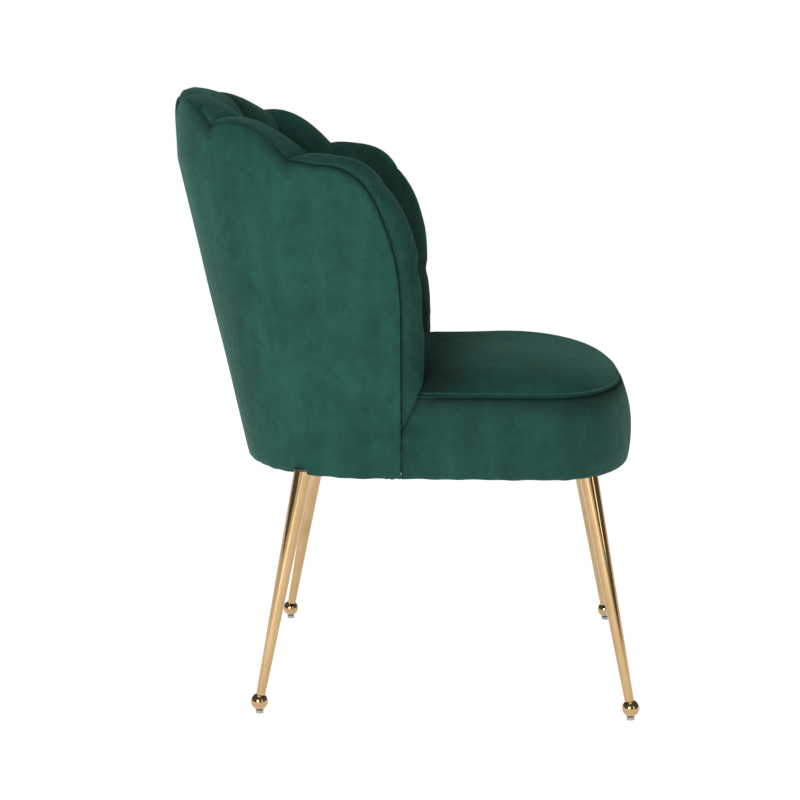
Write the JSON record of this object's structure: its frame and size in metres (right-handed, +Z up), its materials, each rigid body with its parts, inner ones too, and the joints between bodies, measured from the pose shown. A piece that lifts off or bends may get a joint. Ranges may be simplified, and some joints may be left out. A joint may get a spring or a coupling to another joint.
{
  "type": "dining chair",
  "caption": "Upholstered tub dining chair with a scalloped petal back, padded velvet seat and slim splayed metal legs ending in ball feet.",
  "frame": {"origin": "on the floor, under the middle of the chair's bounding box", "axes": "+Z up, the chair's front faces -Y, +X to the sitter's left"},
  "size_m": [0.5318, 0.6436, 0.84],
  "materials": {
    "velvet": "short cut pile, soft sheen, dark teal green",
    "gold_metal": "polished, plated steel",
    "glide_plastic": "moulded, satin",
    "plywood": "sanded, unfinished",
    "hardwood": "sawn, unfinished",
    "foam": "open-cell polyurethane foam",
    "wadding": "bonded polyester fibre",
    "webbing": "woven elastic strap",
    "dust_cloth": "spunbonded black cloth",
    "black_steel": "black powder coat",
    "zinc_steel": "zinc plated"
  },
  "bodies": {
    "root": {"seat_rail": "plywood", "corner_block_screws": "zinc_steel", "back_shell": "plywood", "back_outer_cover": "velvet", "back_bolts": "zinc_steel", "back_nuts": "zinc_steel", "webbing_lengthwise": "webbing", "webbing_crosswise": "webbing", "seat_foam": "foam", "seat_wadding": "wadding", "seat_top_cover": "velvet", "seat_band_cover": "velvet", "dust_cover": "dust_cloth", "dust_cover_staples": "zinc_steel", "leg_plate_screws": "zinc_steel", "corner_block_front_left": "hardwood", "leg_plate_front_left": "black_steel", "leg_front_left": "gold_metal", "leg_ball_front_left": "gold_metal", "glide_front_left": "glide_plastic", "corner_block_front_right": "hardwood", "leg_plate_front_right": "black_steel", "leg_front_right": "gold_metal", "leg_ball_front_right": "gold_metal", "glide_front_right": "glide_plastic", "corner_block_rear_left": "hardwood", "leg_plate_rear_left": "black_steel", "leg_rear_left": "gold_metal", "leg_ball_rear_left": "gold_metal", "glide_rear_left": "glide_plastic", "corner_block_rear_right": "hardwood", "leg_plate_rear_right": "black_steel", "leg_rear_right": "gold_metal", "leg_ball_rear_right": "gold_metal", "glide_rear_right": "glide_plastic", "wing_left_foam": "foam", "wing_left_cover": "velvet", "petal_left_2_foam": "foam", "petal_left_2_cover": "velvet", "petal_left_1_foam": "foam", "petal_left_1_cover": "velvet", "petal_center_foam": "foam", "petal_center_cover": "velvet", "petal_right_1_foam": "foam", "petal_right_1_cover": "velvet", "petal_right_2_foam": "foam", "petal_right_2_cover": "velvet", "wing_right_foam": "foam", "wing_right_cover": "velvet"}
  },
  "joints": []
}
